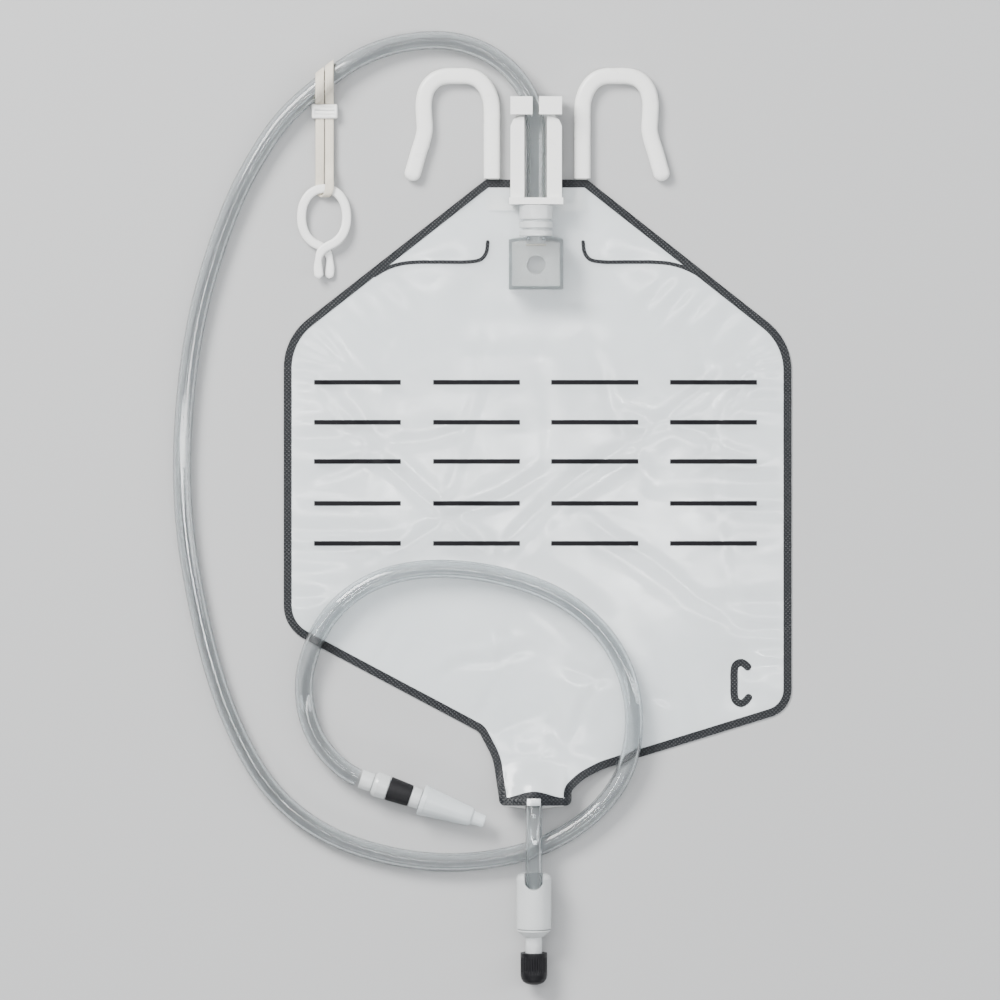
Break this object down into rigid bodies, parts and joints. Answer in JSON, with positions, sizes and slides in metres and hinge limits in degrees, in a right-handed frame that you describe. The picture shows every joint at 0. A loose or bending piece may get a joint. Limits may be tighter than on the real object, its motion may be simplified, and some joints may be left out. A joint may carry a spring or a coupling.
{
  "type": "urine drainage bag",
  "caption": "Flat urine drainage bag with bed hooks, inlet valve box, long tube with capped connector, sheet clip on a strap and push-pull drain valve.",
  "frame": {"origin": "on the surface that the bag lies on, under the middle of the bag with its hooks and outlet", "axes": "+X across the bag to the right in the drawing, +Y up the bag towards the hooks, +Z out of the bag's front"},
  "size_m": [0.2784, 0.429, 0.0191],
  "materials": {
    "clear_film": "clear soft vinyl film, slightly wrinkled, welded rim",
    "white_film": "white soft vinyl film",
    "white_plastic": "moulded white plastic, satin",
    "clear_plastic": "moulded clear plastic, glossy",
    "clear_tube": "clear soft vinyl tubing",
    "dark_rubber": "dark rubber, matt",
    "pale_rubber": "pale elastic rubber",
    "black_plastic": "moulded black plastic, satin"
  },
  "bodies": {
    "bag": {"front_film": "clear_film", "rear_film": "white_film", "hanger": "white_plastic", "tube_holder": "white_plastic", "inlet_neck": "clear_plastic", "valve_housing": "clear_plastic", "valve_back_plate": "white_plastic", "inlet_tube": "clear_tube", "tube_collar": "clear_plastic", "connector_body": "clear_plastic", "sample_sleeve": "dark_rubber", "clip_band": "pale_rubber", "sheet_clip": "white_plastic", "outlet_port": "white_plastic", "outlet_tube": "clear_tube", "outlet_valve_body": "clear_plastic", "outlet_valve_collar": "white_plastic"},
    "reflux_flap": {"anti_reflux_flap": "pale_rubber"},
    "nozzle_cap": {"connector_cap": "clear_plastic"},
    "slider": {"band_slider": "white_plastic"},
    "spigot": {"outlet_spigot": "clear_plastic", "spigot_o_ring": "dark_rubber"},
    "drain_cap": {"outlet_cap": "black_plastic"}
  },
  "joints": [
    {"name": "flap_hinge", "type": "hinge", "parent": "bag", "child": "reflux_flap", "pos_m": [-0.0008, 0.1263, 0.0146], "axis": [-1, 0, 0], "range_deg": [0, 40]},
    {"name": "nozzle_cap_slide", "type": "slide", "parent": "bag", "child": "nozzle_cap", "axis": [0.9455, -0.3256, 0], "range_m": [0, 0.015]},
    {"name": "slider_slide", "type": "slide", "parent": "bag", "child": "slider", "axis": [0, -1, 0], "range_m": [0, 0.02]},
    {"name": "spigot_slide", "type": "slide", "parent": "bag", "child": "spigot", "axis": [0, -0.9962, -0.0872], "range_m": [0, 0.005]},
    {"name": "drain_cap_slide", "type": "slide", "parent": "spigot", "child": "drain_cap", "axis": [0, -0.9962, -0.0872], "range_m": [0, 0.012]}
  ]
}
